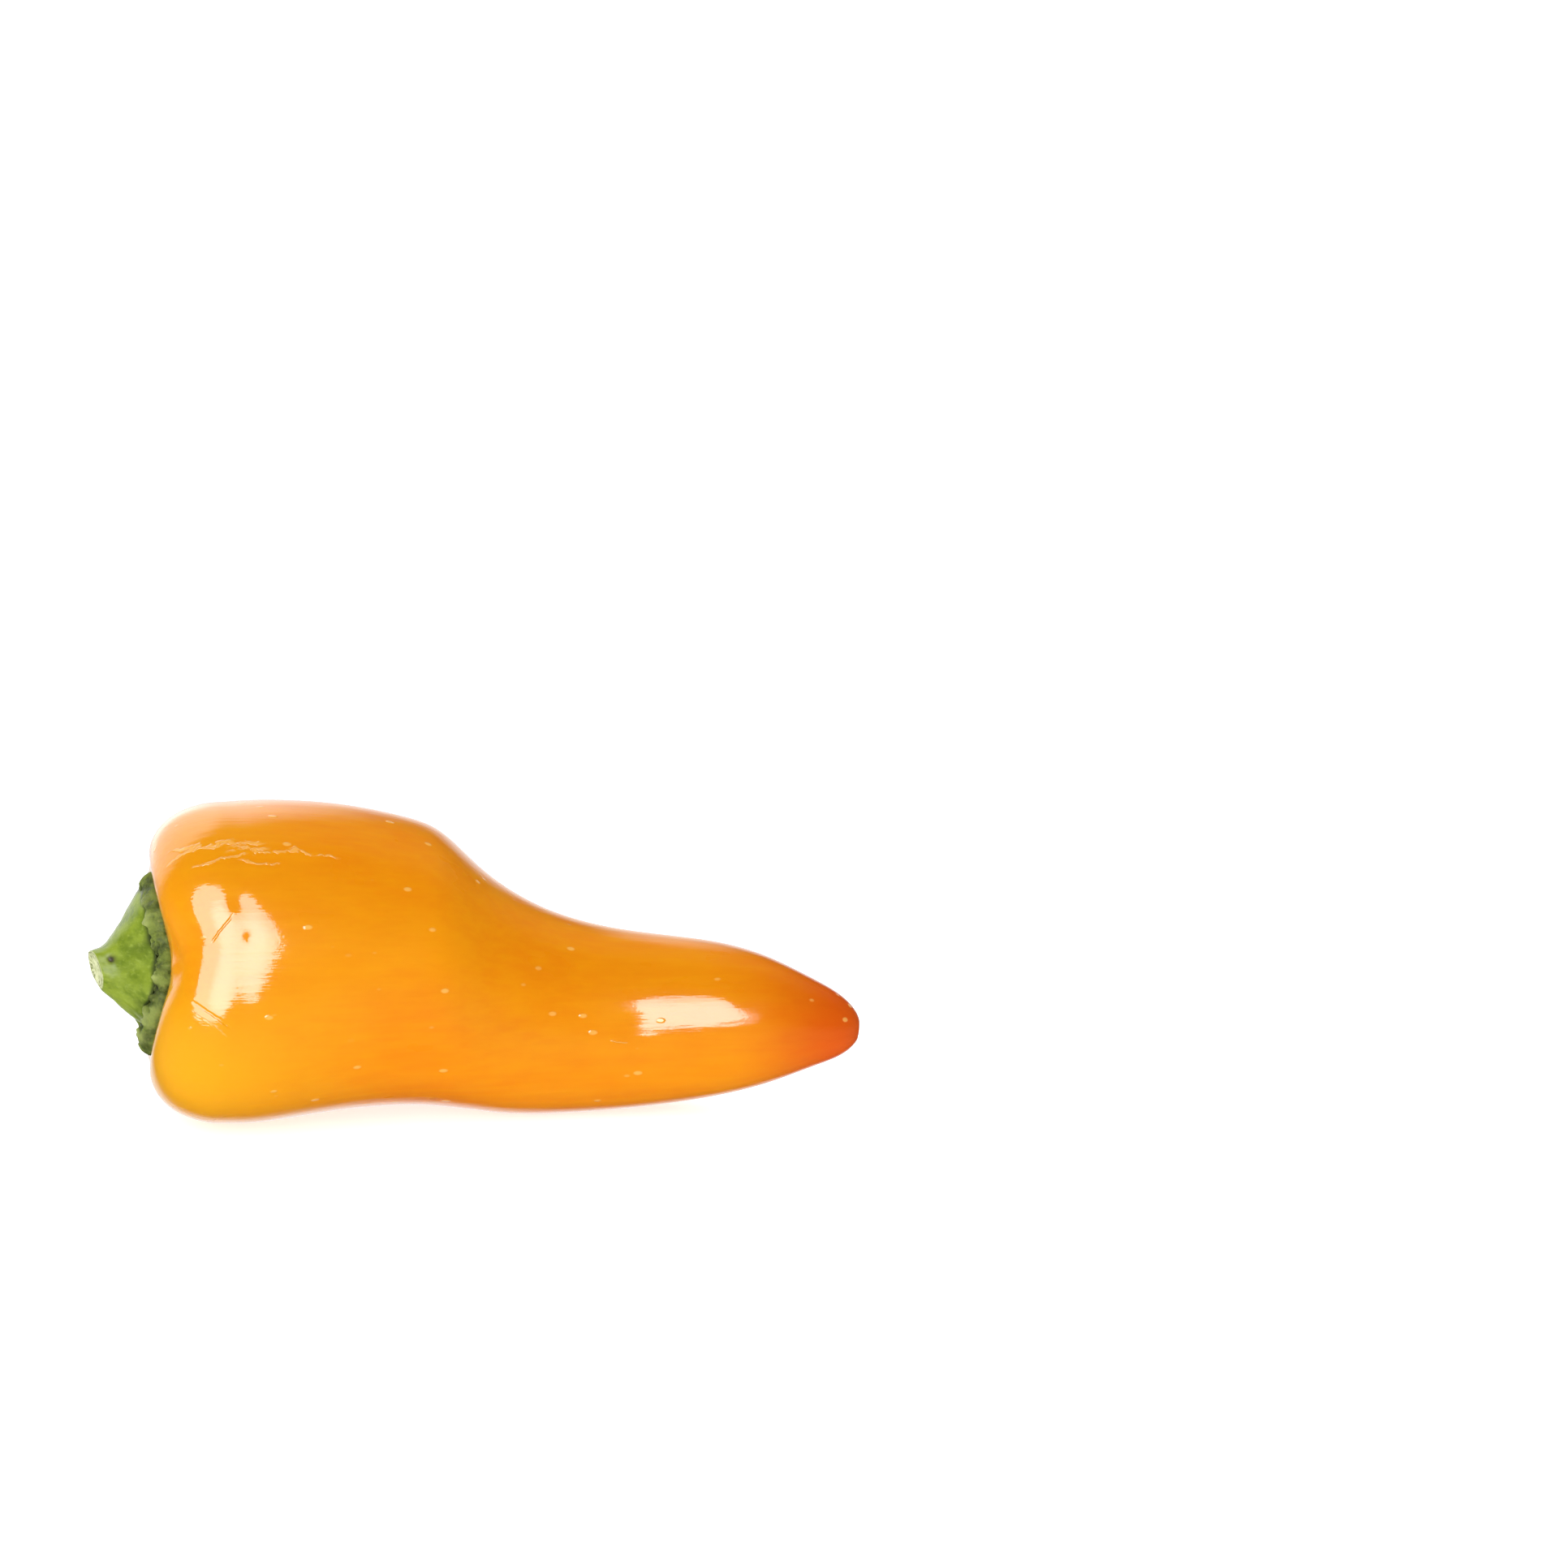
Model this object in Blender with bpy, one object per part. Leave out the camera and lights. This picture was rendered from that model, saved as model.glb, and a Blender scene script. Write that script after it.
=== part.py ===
"""A mini sweet bell pepper lying on its side: the fruit, its calyx and its cut stem.

The fruit lies along X with the stem at -X and the tip at +X. It rests on two small flat spots,
one under the shoulders and one under the belly, and the origin is below the middle of its box.
"""

import math

import bmesh
import bpy
import numpy as np
from mathutils import Matrix, Vector

MM = 0.001

# The fruit's own sizes.
FRUIT_LENGTH = 87.1 * MM
FRUIT_WIDTH = 39.8 * MM
FLAT_DEPTH = 0.28 * MM

# The crown, where the stem grows, faces a little to one side and a little up.
CROWN_YAW = math.radians(8)
CROWN_PITCH = math.radians(4)
CROWN_REACH = 0.16

# The waist, a share of the length, lies between the two places that the fruit rests on.
WAIST = 0.36

# The lobes: valleys run down the fruit between them, deepest at the shoulders.
LOBES = 3
FIRST_LOBE = math.radians(78)
LOBE_DEPTH = 1.0 * MM
LOBE_UNEVENNESS = math.radians(6)
LOBE_UNEVEN_FROM = math.radians(46)
NEAR_LOBES_FULLER = 0.2

# The valleys cut into the crown too, most at this share of the half width.
CROWN_VALLEY = 0.7 * MM
CROWN_VALLEY_AT = 0.62
CROWN_VALLEY_SPREAD = 0.30

# The calyx, the green collar that caps the crown.
CALYX_RADIUS = 10.4 * MM
CALYX_HUB = 2.5 * MM
CALYX_RIM = 1.3 * MM
CALYX_SWELL = 1.6

# The stem, cut short.
STEM_LENGTH = 4.9 * MM
STEM_BASE_RADIUS = 6.9 * MM
STEM_CUT_RADIUS = 2.4 * MM
STEM_DROOP = 0.7 * MM
STEM_RIBS = 5
STEM_RIB_HEIGHT = 0.22 * MM
CUT_TILT = math.radians(14)

GAP = 0.3 * MM

# The half outline from the middle of the crown to the tip, as shares of the length and half width.
OUTLINE = (
    (0.0130, 0.000), (0.0118, 0.220), (0.0080, 0.430), (0.0035, 0.565), (0.0000, 0.660),
    (0.0050, 0.765), (0.0230, 0.872), (0.0590, 0.958), (0.1260, 1.000), (0.2000, 0.982),
    (0.2850, 0.937), (0.3650, 0.893), (0.4160, 0.850), (0.4620, 0.770), (0.5190, 0.683),
    (0.5990, 0.600), (0.6960, 0.540), (0.7870, 0.484), (0.8670, 0.395), (0.9350, 0.272),
    (0.9780, 0.170), (0.9960, 0.076), (1.0000, 0.000),
)

# The middle line: share of the length, then its sideways and upward places in shares of the width.
MIDDLE_LINE = (
    (0.126, 0.000, 0.500), (0.250, 0.010, 0.512), (0.345, 0.014, 0.499), (0.416, 0.012, 0.460),
    (0.480, 0.004, 0.385), (0.550, -0.008, 0.331), (0.640, -0.028, 0.302), (0.780, -0.075, 0.304),
    (0.900, -0.130, 0.309), (1.000, -0.170, 0.292),
)
WIDEST = MIDDLE_LINE[0][0]

# How strong the lobes are along the fruit.
LOBE_FADE = ((0.00, 1.00), (0.12, 0.80), (0.30, 0.45), (0.50, 0.40), (0.80, 0.30), (1.00, 0.10))

# Where the calyx's teeth point, in degrees round the crown, and how far each one reaches.
CALYX_TEETH = (
    (14, 2.0 * MM), (52, 0.6 * MM), (88, 0.9 * MM), (127, 0.5 * MM), (168, 1.0 * MM),
    (212, 0.6 * MM), (262, 1.0 * MM), (306, 1.0 * MM),
)
TOOTH_HALF_WIDTH = math.radians(17)
TOOTH_POINT = 1.4

# The stem's flare: share of its height, and share of the way from the cut radius to the base's.
STEM_FLARE = ((0.0, 1.0), (0.12, 0.86), (0.28, 0.60), (0.50, 0.36), (0.72, 0.18), (1.0, 0.0))

FRUIT_AROUND = 56
FRUIT_ALONG = 46
END_CROWDING = 0.55
CALYX_AROUND = 64
CALYX_RINGS = 7
STEM_AROUND = 40
STEM_FOOT_RINGS = 3
STEM_RINGS = 9
HALVINGS = 30
LEVELLINGS = 8
SLOPE_STEP = 0.004
CREASE = math.radians(50)

SKIN_ORANGE = (0.89, 0.29, 0.01, 1.0)
CALYX_GREEN = (0.14, 0.20, 0.04, 1.0)
STEM_GREEN = (0.24, 0.35, 0.05, 1.0)


def spline(knots, values):
    """A smooth curve through values at knots, with a continuous curvature."""
    knots = np.asarray(knots, float)
    values = np.asarray(values, float)
    spans = np.diff(knots)
    count = len(knots)
    system = np.zeros((count, count))
    target = np.zeros((count,) + values.shape[1:])
    system[0, 0] = 1.0
    system[-1, -1] = 1.0
    for i in range(1, count - 1):
        system[i, i - 1 : i + 2] = spans[i - 1], 2 * (spans[i - 1] + spans[i]), spans[i]
        target[i] = 6 * (
            (values[i + 1] - values[i]) / spans[i] - (values[i] - values[i - 1]) / spans[i - 1]
        )
    bends = np.linalg.solve(system, target)

    def at(x):
        i = int(np.clip(np.searchsorted(knots, x) - 1, 0, count - 2))
        span = spans[i]
        left = (knots[i + 1] - x) / span
        right = (x - knots[i]) / span
        bend = (left**3 - left) * bends[i] + (right**3 - right) * bends[i + 1]
        return left * values[i] + right * values[i + 1] + bend * span**2 / 6

    return at


def outline_curve():
    """The half outline as a curve of (distance along, radius), and its share at the widest place.

    The points are mirrored across the middle line at both ends, so that it closes smoothly there.
    """
    half = np.array([(a * FRUIT_LENGTH, r * FRUIT_WIDTH / 2) for a, r in OUTLINE])
    mirror = np.array((1, -1))
    ahead, behind = half[3:0:-1] * mirror, half[-2:-5:-1] * mirror
    points = np.concatenate([ahead, half, behind])
    knots = np.concatenate([[0], np.cumsum(np.linalg.norm(np.diff(points, axis=0), axis=1))])
    crown, tip = knots[len(ahead)], knots[-1 - len(behind)]
    curve = spline(knots, points)
    widest = knots[len(ahead) + int(np.argmax(half[:, 1]))]

    def at(share):
        return curve(crown + (tip - crown) * share)

    return at, (widest - crown) / (tip - crown)


OUTLINE_AT, WIDEST_SHARE = outline_curve()
MIDDLE_AT = spline([row[0] for row in MIDDLE_LINE], [row[1:] for row in MIDDLE_LINE])
LOBE_FADE_AT = spline([row[0] for row in LOBE_FADE], [row[1] for row in LOBE_FADE])
STEM_FLARE_AT = spline([row[0] for row in STEM_FLARE], [row[1] for row in STEM_FLARE])


def section_turn(share):
    """How a cross-section is turned: square to X down the fruit, and the crown's way at the crown."""
    amount = math.exp(-(((share - WIDEST) / CROWN_REACH) ** 2))
    yaw = Matrix.Rotation(CROWN_YAW * amount, 3, "Z")
    return yaw @ Matrix.Rotation(CROWN_PITCH * amount, 3, "Y")


def middle_line(along):
    """The middle line's point and the turn of the cross-section there.

    Behind the widest place the line runs straight on, towards the stem.
    """
    share = max(along / FRUIT_LENGTH, WIDEST)
    side, height = MIDDLE_AT(min(share, 1.0)) * FRUIT_WIDTH
    turn = section_turn(share)
    behind = along - share * FRUIT_LENGTH
    return Vector((share * FRUIT_LENGTH, side, height)) + turn @ Vector((behind, 0, 0)), turn


def lobe_wave(angle):
    """1 on top of a lobe and -1 in a valley. Three lobes are never quite alike."""
    uneven = LOBE_UNEVENNESS * math.sin(angle + LOBE_UNEVEN_FROM)
    fuller = 1 + NEAR_LOBES_FULLER * math.cos(angle)
    return math.cos(LOBES * (angle + uneven - FIRST_LOBE)) * fuller


def fruit_point(share, angle):
    """A point of the skin: share runs from the crown's middle to the tip, angle round the fruit.

    Angle 0 faces -Y, and a quarter turn faces up.
    """
    along, radius = OUTLINE_AT(share)
    fraction = max(along, 0.0) / FRUIT_LENGTH
    wave = lobe_wave(angle)
    full = 2 * radius / FRUIT_WIDTH
    on_crown = math.exp(-(((full - CROWN_VALLEY_AT) / CROWN_VALLEY_SPREAD) ** 2))
    radius += LOBE_DEPTH * LOBE_FADE_AT(min(fraction, 1.0)) * wave * min(full, 1.0)
    if fraction < WIDEST:
        along -= CROWN_VALLEY * wave * on_crown
    centre, turn = middle_line(along)
    return centre + turn @ Vector((0, -math.cos(angle), math.sin(angle))) * radius


CROWN_TURN = section_turn(WIDEST)


def skin_normal(share, angle):
    """The skin's outward direction."""
    if share < SLOPE_STEP:
        return CROWN_TURN @ Vector((-1, 0, 0))
    along = fruit_point(share + SLOPE_STEP, angle) - fruit_point(share - SLOPE_STEP, angle)
    around = fruit_point(share, angle + SLOPE_STEP) - fruit_point(share, angle - SLOPE_STEP)
    return along.cross(around).normalized()


def share_at_radius(radius):
    """How far along the outline, on the crown, the skin reaches this radius."""
    low, high = 0.0, WIDEST_SHARE
    for _ in range(HALVINGS):
        middle = (low + high) / 2
        if OUTLINE_AT(middle)[1] < radius:
            low = middle
        else:
            high = middle
    return (low + high) / 2


def tooth_reach(angle):
    """How far the calyx's teeth carry its rim out at this angle."""
    reach = 0.0
    for degrees, length in CALYX_TEETH:
        turned = angle - math.radians(degrees)
        apart = abs(math.atan2(math.sin(turned), math.cos(turned)))
        reach += length * max(0.0, 1 - apart / TOOTH_HALF_WIDTH) ** TOOTH_POINT
    return reach


def calyx_thickness(inward):
    """Thickness from the hub, where inward is 1, to the rim, where it is 0."""
    blend = inward * inward * (3 - 2 * inward)
    return CALYX_RIM + (CALYX_HUB - CALYX_RIM) * blend


def crown_point(out, angle, above):
    """A point over the crown, out from its middle along the skin and above the skin."""
    share = share_at_radius(out)
    return fruit_point(share, angle) + skin_normal(share, angle) * above


def calyx_top(out, angle):
    """How far the calyx's upper face stands above the skin."""
    rim = CALYX_RADIUS + tooth_reach(angle)
    return GAP + calyx_thickness(max(0.0, 1 - (out / rim) ** CALYX_SWELL))


def angles(count):
    return [2 * math.pi * i / count for i in range(count)]


def closed_mesh(name, first, rings, last):
    """A closed mesh from a first point, rings of points and a last point."""
    mesh = bpy.data.meshes.new(name)
    made = bmesh.new()
    start = made.verts.new(first)
    loops = [[made.verts.new(point) for point in ring] for ring in rings]
    end = made.verts.new(last)
    count = len(loops[0])
    for i in range(count):
        j = (i + 1) % count
        made.faces.new((start, loops[0][j], loops[0][i]))
        made.faces.new((end, loops[-1][i], loops[-1][j]))
        for near, far in zip(loops, loops[1:]):
            made.faces.new((near[i], near[j], far[j], far[i]))
    bmesh.ops.recalc_face_normals(made, faces=made.faces)
    made.to_mesh(mesh)
    made.free()
    return mesh


def fruit_mesh():
    """The fruit in its natural shape, before it is laid down and flattened where it rests.

    Its rings are closer together at the ends, where it bends most.
    """
    rings = []
    for k in range(1, FRUIT_ALONG):
        even = k / FRUIT_ALONG
        share = even - END_CROWDING * math.sin(2 * math.pi * even) / (2 * math.pi)
        rings.append([fruit_point(share, angle) for angle in angles(FRUIT_AROUND)])
    return closed_mesh("fruit", fruit_point(0, 0), rings, fruit_point(1, 0))


def calyx_mesh():
    """The collar: its underside follows the crown, and its upper face rises to the hub."""
    under, over = [], []
    for k in range(1, CALYX_RINGS + 1):
        lower, upper = [], []
        for angle in angles(CALYX_AROUND):
            rim = CALYX_RADIUS + tooth_reach(angle)
            out = rim * k / CALYX_RINGS
            lower.append(crown_point(out, angle, GAP))
            upper.append(crown_point(out, angle, calyx_top(out, angle)))
        under.append(lower)
        over.append(upper)
    return closed_mesh(
        "calyx", crown_point(0, 0, GAP), under + over[::-1], crown_point(0, 0, calyx_top(0, 0))
    )


def stem_foot(out, angle):
    """A point of the stem's underside, a gap above the calyx."""
    return crown_point(out, angle, GAP + calyx_top(out, angle))


def stem_side(height, angle):
    """A point of the stem's side at a share of its height, which bends down towards the cut."""
    base = stem_foot(0, 0)
    start = (CROWN_TURN.transposed() @ (stem_foot(STEM_BASE_RADIUS, angle) - base)).x
    flare = STEM_FLARE_AT(height)
    radius = STEM_CUT_RADIUS + (STEM_BASE_RADIUS - STEM_CUT_RADIUS) * flare
    radius += STEM_RIB_HEIGHT * math.cos(STEM_RIBS * angle) * flare * height
    ring = Vector((0, -math.cos(angle), math.sin(angle))) * radius
    tilt = Matrix.Rotation(-CUT_TILT * height, 3, "Y")
    centre = Vector((start * (1 - height) - STEM_LENGTH * height, 0, -STEM_DROOP * height**2))
    return base + CROWN_TURN @ (centre + tilt @ ring)


def stem_mesh():
    """The stem: its foot stands on the calyx, and its top is the flat cut."""
    foot = [
        [stem_foot(STEM_BASE_RADIUS * k / STEM_FOOT_RINGS, angle) for angle in angles(STEM_AROUND)]
        for k in range(1, STEM_FOOT_RINGS + 1)
    ]
    sides = [
        [stem_side(k / STEM_RINGS, angle) for angle in angles(STEM_AROUND)]
        for k in range(1, STEM_RINGS + 1)
    ]
    tip = sum(sides[-1], Vector()) / STEM_AROUND
    return closed_mesh("stem", stem_foot(0, 0), foot + sides, tip)


def lowest(points):
    return min(points, key=lambda point: point.z)


def laid_down(mesh):
    """The turn that lets the fruit rest level on its shoulders and its belly."""
    turn = Matrix.Identity(4)
    for _ in range(LEVELLINGS):
        points = [turn @ vertex.co for vertex in mesh.vertices]
        low_x = min(point.x for point in points)
        waist = low_x + WAIST * FRUIT_LENGTH
        shoulder = lowest(point for point in points if point.x < waist)
        belly = lowest(point for point in points if point.x >= waist)
        pitch = math.atan2(belly.z - shoulder.z, belly.x - shoulder.x)
        turn = Matrix.Rotation(pitch, 4, "Y") @ turn
    return turn


def flatten_feet(mesh):
    """Cuts the fruit level, a little above its lowest point, and returns the floor's height."""
    floor = min(vertex.co.z for vertex in mesh.vertices) + FLAT_DEPTH
    made = bmesh.new()
    made.from_mesh(mesh)
    bmesh.ops.bisect_plane(
        made,
        geom=made.verts[:] + made.edges[:] + made.faces[:],
        plane_co=(0, 0, floor),
        plane_no=(0, 0, -1),
        clear_outer=True,
        dist=1e-7,
    )
    bmesh.ops.holes_fill(made, edges=[edge for edge in made.edges if edge.is_boundary])
    bmesh.ops.recalc_face_normals(made, faces=made.faces)
    made.to_mesh(mesh)
    made.free()
    return floor


def plain_material(name, colour, roughness):
    material = bpy.data.materials.new(name)
    material.use_nodes = True
    shader = material.node_tree.nodes["Principled BSDF"]
    shader.inputs["Base Color"].default_value = colour
    shader.inputs["Roughness"].default_value = roughness
    shader.inputs["Metallic"].default_value = 0.0
    return material


def add_object(mesh, material, parent):
    made = bpy.data.objects.new(mesh.name, mesh)
    bpy.context.scene.collection.objects.link(made)
    mesh.materials.append(material)
    mesh.shade_smooth()
    mesh.set_sharp_from_angle(angle=CREASE)
    made.parent = parent
    return made


def main():
    for old in list(bpy.data.objects):
        bpy.data.objects.remove(old)

    fruit, calyx, stem = fruit_mesh(), calyx_mesh(), stem_mesh()
    turn = laid_down(fruit)
    for mesh in (fruit, calyx, stem):
        mesh.transform(turn)
    floor = flatten_feet(fruit)

    corners = [vertex.co for mesh in (fruit, calyx, stem) for vertex in mesh.vertices]
    middle_x = (min(p.x for p in corners) + max(p.x for p in corners)) / 2
    middle_y = (min(p.y for p in corners) + max(p.y for p in corners)) / 2
    pepper = bpy.data.objects.new("pepper", None)
    pepper.location = (-middle_x, -middle_y, -floor)
    bpy.context.scene.collection.objects.link(pepper)

    add_object(fruit, plain_material("fruit_skin", SKIN_ORANGE, 0.25), pepper)
    add_object(calyx, plain_material("calyx_green", CALYX_GREEN, 0.7), pepper)
    add_object(stem, plain_material("stem_green", STEM_GREEN, 0.5), pepper)


main()
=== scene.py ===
"""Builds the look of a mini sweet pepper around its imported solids, with a plain stage."""

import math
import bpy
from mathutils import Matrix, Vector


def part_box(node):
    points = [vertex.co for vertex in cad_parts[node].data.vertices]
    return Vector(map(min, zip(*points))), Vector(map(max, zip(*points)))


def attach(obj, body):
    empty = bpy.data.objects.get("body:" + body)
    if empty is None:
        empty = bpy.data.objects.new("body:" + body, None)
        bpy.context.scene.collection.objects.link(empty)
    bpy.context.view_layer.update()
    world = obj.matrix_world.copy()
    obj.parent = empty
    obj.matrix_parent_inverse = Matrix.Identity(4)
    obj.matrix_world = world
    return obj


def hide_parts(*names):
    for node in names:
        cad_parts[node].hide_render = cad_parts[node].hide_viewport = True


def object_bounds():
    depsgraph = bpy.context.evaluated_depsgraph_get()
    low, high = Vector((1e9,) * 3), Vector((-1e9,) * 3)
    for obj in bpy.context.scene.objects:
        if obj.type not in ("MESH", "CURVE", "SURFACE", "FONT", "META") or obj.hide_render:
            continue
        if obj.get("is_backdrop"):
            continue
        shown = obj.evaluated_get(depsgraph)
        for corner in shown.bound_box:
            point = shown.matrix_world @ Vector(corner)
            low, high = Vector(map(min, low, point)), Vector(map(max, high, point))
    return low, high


bl_info = {
    "name": "Mini Sweet Pepper",
    "version": (1, 0, 0),
    "blender": (4, 5, 0),
    "location": "3D View > Sidebar > Pepper",
    "description": "Makes the fruit, calyx and stem of a mini sweet pepper and a plain stage",
    "category": "Add Mesh",
}

import bpy
import numpy as np
from bpy.props import FloatProperty, FloatVectorProperty, PointerProperty
from mathutils import Matrix, Vector, noise

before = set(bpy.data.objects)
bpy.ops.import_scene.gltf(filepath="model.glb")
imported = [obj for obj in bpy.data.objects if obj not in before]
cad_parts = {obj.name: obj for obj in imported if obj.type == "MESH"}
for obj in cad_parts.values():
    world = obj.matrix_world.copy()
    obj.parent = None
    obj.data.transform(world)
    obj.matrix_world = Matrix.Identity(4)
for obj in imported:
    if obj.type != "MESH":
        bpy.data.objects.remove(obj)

MM = 0.001

# The fruit's shape: half outline from the crown's middle to the tip, as shares of the length
# and of the half width.
OUTLINE = (
    (0.0130, 0.000), (0.0118, 0.220), (0.0080, 0.430), (0.0035, 0.565), (0.0000, 0.660),
    (0.0050, 0.765), (0.0230, 0.872), (0.0590, 0.958), (0.1260, 1.000), (0.2000, 0.982),
    (0.2850, 0.937), (0.3650, 0.893), (0.4160, 0.850), (0.4620, 0.770), (0.5190, 0.683),
    (0.5990, 0.600), (0.6960, 0.540), (0.7870, 0.484), (0.8670, 0.395), (0.9350, 0.272),
    (0.9780, 0.170), (0.9960, 0.076), (1.0000, 0.000),
)

# The middle line: share of the length, then its sideways and upward places in shares of the width.
MIDDLE_LINE = (
    (0.126, 0.000, 0.500), (0.250, 0.010, 0.512), (0.345, 0.014, 0.499), (0.416, 0.012, 0.460),
    (0.480, 0.004, 0.385), (0.550, -0.008, 0.331), (0.640, -0.028, 0.302), (0.780, -0.075, 0.304),
    (0.900, -0.130, 0.309), (1.000, -0.170, 0.292),
)
WIDEST = MIDDLE_LINE[0][0]
CROWN_YAW = math.radians(8)
CROWN_PITCH = math.radians(4)
CROWN_REACH = 0.16
FLAT_DEPTH = 0.28 * MM
LYING_PITCH = math.radians(-0.38)
REST_SOFTNESS = 0.05 * MM

# The lobes and the valleys between them.
LOBES = 3
FIRST_LOBE = math.radians(78)
LOBE_UNEVENNESS = math.radians(6)
LOBE_UNEVEN_FROM = math.radians(46)
NEAR_LOBES_FULLER = 0.2
CROWN_VALLEY = 0.7 * MM
CROWN_VALLEY_AT = 0.62
CROWN_VALLEY_SPREAD = 0.30
LOBE_FADE = ((0.00, 1.00), (0.12, 0.80), (0.30, 0.45), (0.50, 0.40), (0.80, 0.30), (1.00, 0.10))

# The calyx's teeth: degrees round the crown, and how far each one reaches.
CALYX_TEETH = (
    (14, 2.0 * MM), (52, 0.6 * MM), (88, 0.9 * MM), (127, 0.5 * MM), (168, 1.0 * MM),
    (212, 0.6 * MM), (262, 1.0 * MM), (306, 1.0 * MM),
)
TOOTH_HALF_WIDTH = math.radians(17)
TOOTH_POINT = 1.4

FRUIT_AROUND = 224
FRUIT_ALONG = 300
END_CROWDING = 0.55
CALYX_AROUND = 300
STEM_AROUND = 180
STEM_RINGS = 64

# Soft swellings of the skin: scale of the waves and how high they stand.
SKIN_WAVES = ((15.0 * MM, 0.16 * MM), (7.0 * MM, 0.045 * MM), (3.2 * MM, 0.010 * MM))
RIDGES = 11
RIDGE_HEIGHT = 0.018 * MM

# Dents: share along the fruit, degrees round it, radius and depth.
DENTS = (
    (0.115, 226, 6.5 * MM, 0.90 * MM), (0.228, 38, 1.3 * MM, 0.13 * MM),
    (0.243, 25, 0.7 * MM, 0.14 * MM), (0.711, 10, 2.2 * MM, 0.16 * MM),
    (0.842, 39, 2.2 * MM, 0.16 * MM),
    (0.165, 27, 3.2 * MM, 0.10 * MM), (0.105, 40, 2.2 * MM, 0.06 * MM),
    (0.220, 8, 3.6 * MM, 0.07 * MM), (0.150, -22, 2.6 * MM, 0.06 * MM),
    (0.430, 35, 4.0 * MM, 0.10 * MM), (0.300, 48, 5.0 * MM, 0.08 * MM),
    (0.560, 150, 4.0 * MM, 0.10 * MM), (0.340, 200, 5.0 * MM, 0.12 * MM),
)

# How far the side with the main valley stands out, by share of the length.
NEAR_SIDE = (
    (0.00, 0.0), (0.10, 0.02), (0.125, 0.03), (0.16, -0.06), (0.20, -0.20), (0.26, -0.24),
    (0.33, -0.18), (0.42, 0.0), (0.60, 0.0), (0.76, 0.0), (0.80, 0.12), (0.84, 0.30),
    (0.87, 0.42), (0.90, 0.42), (0.95, 0.22), (1.00, 0.0),
)
NEAR_SIDE_TURN = math.radians(12)
NEAR_SIDE_NARROWING = 1.5

# Soft grooves down the shoulders: degrees round at their start, share where they begin and end,
# half width in degrees, and depth.
GROOVES = (
    (17, 0.07, 0.30, 17, 0.42 * MM), (19, 0.05, 0.20, 13, 0.50 * MM),
    (-48, 0.08, 0.22, 12, 0.10 * MM), (138, 0.06, 0.30, 20, 0.30 * MM),
    (258, 0.06, 0.26, 20, 0.10 * MM),
)
GROOVE_BANK = 0.30
GROOVE_BANK_AT = 2.1

# The blossom scar at the tip: how far below the last point it lies, where it starts and ends to
# show, and the hollow round it.
SCAR_DROP = 0.4 * MM
SCAR_RIM = (0.35 * MM, 0.95 * MM)
SCAR_HOLLOW = 0.35 * MM
SCAR_HOLLOW_RIM = (0.2 * MM, 1.5 * MM)

# Beside the collar the skin lies calm: the share of its relief that stays, how far that goes, and
# how wide the painted shade at the rim is.
COLLAR_RELIEF = 0.10
COLLAR_REACH = 3.8 * MM
COLLAR_PAINTED_SHADE_WIDTH = 0.28 * MM

# The shoulders' lengthwise curve is evened over this many rings, between these lengths.
EVEN_RINGS = 24
EVEN_SPREAD = 10.0
EVEN_FROM = (0.07, 0.115)
EVEN_TO = (0.30, 0.42)

# Dry scratches in the skin, and one pale line that is a painted highlight: distance along and round
# in millimetres, half length, slant (round per along), half width and how much they waver.
SCRATCHES_AND_PAINTED_HIGHLIGHT = (
    (11.0, 52.1, 6.5, -0.10, 0.16, 0.9), (13.5, 51.4, 5.5, -0.04, 0.12, 0.7),
    (19.0, 50.3, 6.0, -0.10, 0.10, 1.1), (13.0, 49.2, 4.2, 0.16, 0.09, 0.8),
    (17.5, 48.6, 3.0, -0.12, 0.10, 0.8), (8.2, 51.5, 2.4, 0.25, 0.09, 0.6),
    (24.0, 49.9, 3.4, -0.16, 0.08, 0.9), (16.0, 50.4, 3.0, 0.08, 0.08, 0.5),
    # The first entry on this line is a painted highlight: a pale crescent on the shoulder.
    (10.9, 28.1, 2.4, -0.56, 0.13, 0.3), (60.5, 31.2, 1.6, -0.25, 0.06, 0.4),
    (42.0, 68.0, 4.0, 0.20, 0.12, 1.2), (58.0, 92.0, 5.0, -0.15, 0.12, 1.0),
    (25.0, 108.0, 4.0, 0.12, 0.12, 1.0), (33.0, 84.0, 3.0, -0.35, 0.10, 0.8),
)

# Creases pressed into the skin, given in the same way.
CREASES = ((11.3, 29.2, 2.6, -0.56, 0.04, 0.3), (12.7, 40.2, 1.5, 1.3, 0.04, 0.3))

# How the distances along and round are measured for scratches and creases: where they start, and
# the millimetres to a degree.
ROUND_START = 90
ROUND_STEP = 0.34

# The calyx's cross-section: share of its radius, and height above the skin.
CALYX_PROFILE = (
    (0.00, 1.9 * MM), (0.55, 1.8 * MM), (0.66, 1.2 * MM), (0.72, 0.9 * MM), (0.78, 1.25 * MM),
    (0.86, 1.75 * MM), (0.93, 1.50 * MM), (0.98, 0.90 * MM), (1.00, 0.35 * MM),
)

CALYX_BURIED = 0.75 * MM
CALYX_LEAST = 0.12 * MM
CALYX_LUMPS = (1.9 * MM, 0.75 * MM)
CALYX_RIBS = 23
CALYX_SWELL_AT = 0.87
CALYX_SWELL_SPREAD = 0.10
# The ring of painted shade in the calyx's crevice: where it lies and its spread.
CALYX_CREVICE_AT = 0.70
CALYX_CREVICE_SPREAD = 0.055

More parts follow.
